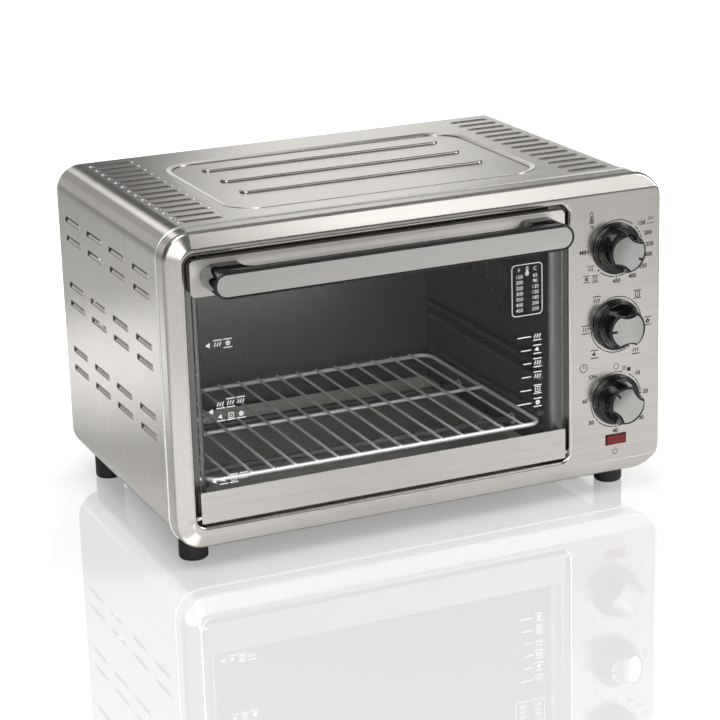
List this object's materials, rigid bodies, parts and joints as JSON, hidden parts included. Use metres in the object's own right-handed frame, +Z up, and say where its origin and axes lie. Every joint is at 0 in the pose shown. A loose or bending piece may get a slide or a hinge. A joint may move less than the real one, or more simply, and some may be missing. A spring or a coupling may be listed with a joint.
{
  "type": "air fryer toaster oven",
  "caption": "Countertop convection toaster oven in brushed steel with a drop-down glass door, bar handle, dials, wire rack and vented casing.",
  "frame": {"origin": "on the table under the middle of the oven, at the height of the soles of the feet", "axes": "+Z up, the door faces -Y, +X to the right seen from the front, where the dials are"},
  "size_m": [0.52, 0.378, 0.3347],
  "materials": {
    "steel": "horizontal brushed grain, soft satin sheen",
    "inlay_steel": "fine satin",
    "chrome_wire": "bright plated wire",
    "aluminised": "satin aluminised sheet, faintly mirrored",
    "rod_steel": "dark sheathed heating rod",
    "motor_steel": "zinc plated",
    "ceramic": "unglazed ceramic",
    "black_gloss": "polished black",
    "black_matte": "moulded black",
    "switch_plastic": "moulded",
    "red_lens": "clear red",
    "glass": "tempered, clear"
  },
  "bodies": {
    "oven": {"front_fascia": "steel", "outer_wrap": "steel", "base_plate": "aluminised", "rear_panel": "steel", "cord_gland": "black_matte", "foot_front_left": "black_matte", "foot_front_right": "black_matte", "foot_rear_left": "black_matte", "foot_rear_right": "black_matte", "foot_screws": "chrome_wire", "cavity_left_wall": "aluminised", "cavity_right_wall": "aluminised", "cavity_roof": "aluminised", "cavity_floor": "aluminised", "cavity_back": "aluminised", "upper_front_heater": "rod_steel", "upper_rear_heater": "rod_steel", "lower_front_heater": "rod_steel", "lower_rear_heater": "rod_steel", "heater_insulators": "ceramic", "crumb_tray": "aluminised", "fan_guard": "aluminised", "fan_housing": "aluminised", "fan_motor": "motor_steel", "thermostat": "ceramic", "function_switch": "switch_plastic", "timer": "motor_steel", "lamp_lens": "red_lens", "lamp_holder": "black_matte", "hinge_block_left": "motor_steel", "hinge_block_right": "motor_steel"},
    "door": {"door_top_rail": "steel", "door_bottom_trim": "steel", "door_glass": "glass", "door_top_clamp": "aluminised", "door_bottom_clamp": "aluminised", "handle_body": "black_gloss", "handle_inlay": "inlay_steel", "handle_screws": "chrome_wire", "hinge_pin_left": "chrome_wire", "hinge_pin_right": "chrome_wire"},
    "rack": {"wire_rack": "chrome_wire"},
    "temperature_dial": {"temperature_shaft": "chrome_wire", "temperature_knob": "black_gloss", "temperature_inlay": "inlay_steel"},
    "function_dial": {"function_shaft": "chrome_wire", "function_knob": "black_gloss", "function_inlay": "inlay_steel"},
    "timer_dial": {"timer_shaft": "chrome_wire", "timer_knob": "black_gloss", "timer_inlay": "inlay_steel"},
    "fan": {"fan_blade": "aluminised", "fan_shaft": "chrome_wire"}
  },
  "joints": [
    {"name": "door_hinge", "type": "hinge", "parent": "oven", "child": "door", "pos_m": [-0.0423, -0.1455, 0.056], "axis": [1, 0, 0], "range_deg": [0, 90], "stiffness_Nm_per_rad": 0.6, "springref_deg": -28.65},
    {"name": "rack_slide", "type": "slide", "parent": "oven", "child": "rack", "axis": [0, -1, 0], "range_m": [0, 0.063]},
    {"name": "temperature_turn", "type": "hinge", "parent": "oven", "child": "temperature_dial", "pos_m": [0.2097, -0.151, 0.2621], "axis": [0, 1, 0], "range_deg": [-208, 107]},
    {"name": "function_turn", "type": "hinge", "parent": "oven", "child": "function_dial", "pos_m": [0.2097, -0.151, 0.1835], "axis": [0, 1, 0], "range_deg": [0, 300]},
    {"name": "timer_turn", "type": "hinge", "parent": "oven", "child": "timer_dial", "pos_m": [0.2097, -0.151, 0.1049], "axis": [0, 1, 0], "range_deg": [0, 316]},
    {"name": "fan_spin", "type": "hinge", "parent": "oven", "child": "fan", "pos_m": [0.1407, 0.013, 0.215], "axis": [1, 0, 0], "continuous": true}
  ],
  "couplings": [
    {"joint": "rack_slide", "follows": "door_hinge", "m_per_rad": 0.04}
  ]
}
